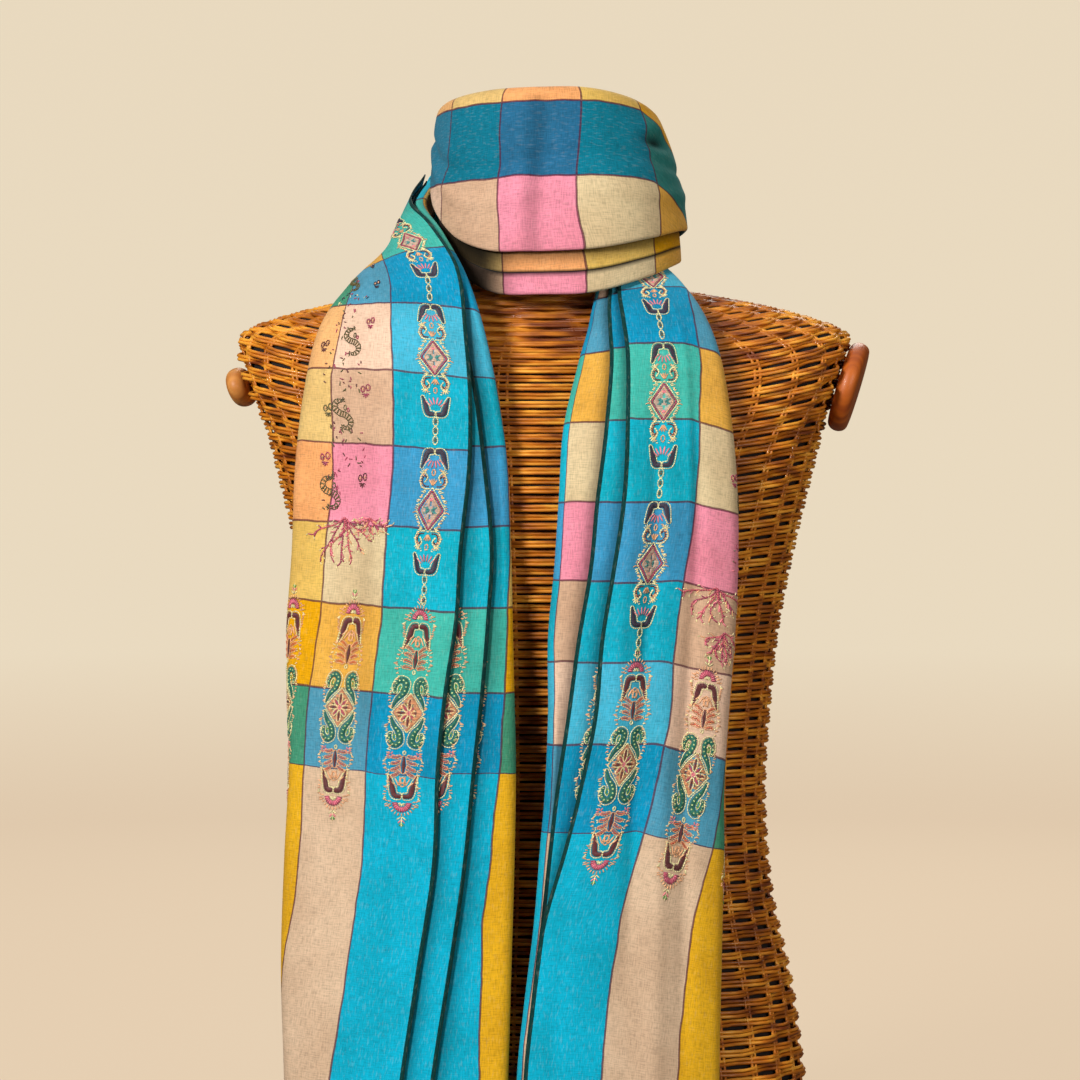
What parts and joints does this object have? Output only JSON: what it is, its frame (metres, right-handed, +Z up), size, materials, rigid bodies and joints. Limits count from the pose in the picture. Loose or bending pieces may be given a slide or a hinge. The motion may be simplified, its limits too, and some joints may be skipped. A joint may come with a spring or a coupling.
{
  "type": "pashmina shawl on a wicker torso form",
  "caption": "Checked and embroidered pashmina shawl wound round the neck of a headless, armless wicker torso form with wooden arm caps, its tails hanging down the front.",
  "frame": {"origin": "middle of the form's flat base, on the surface that the form stands on", "axes": "+Z up along the form, -Y out of its chest, +X to the viewer's right when the chest is faced"},
  "size_m": [0.4358, 0.2514, 0.7673],
  "materials": {
    "pashmina": "soft matt twill weave in checks, with a faint sheen",
    "wicker": "varnished cane, honey brown",
    "arm_cap_wood": "varnished, reddish brown",
    "neck_cap_wood": "varnished, brown"
  },
  "bodies": {
    "root": {"shawl_tail_left": "pashmina", "shawl_tail_right": "pashmina", "shawl_band_front": "pashmina", "shawl_loop_outer": "pashmina", "shawl_loop_inner": "pashmina", "form_torso": "wicker", "form_neck_cap": "neck_cap_wood", "form_arm_cap_left": "arm_cap_wood", "form_arm_cap_right": "arm_cap_wood"}
  },
  "joints": []
}
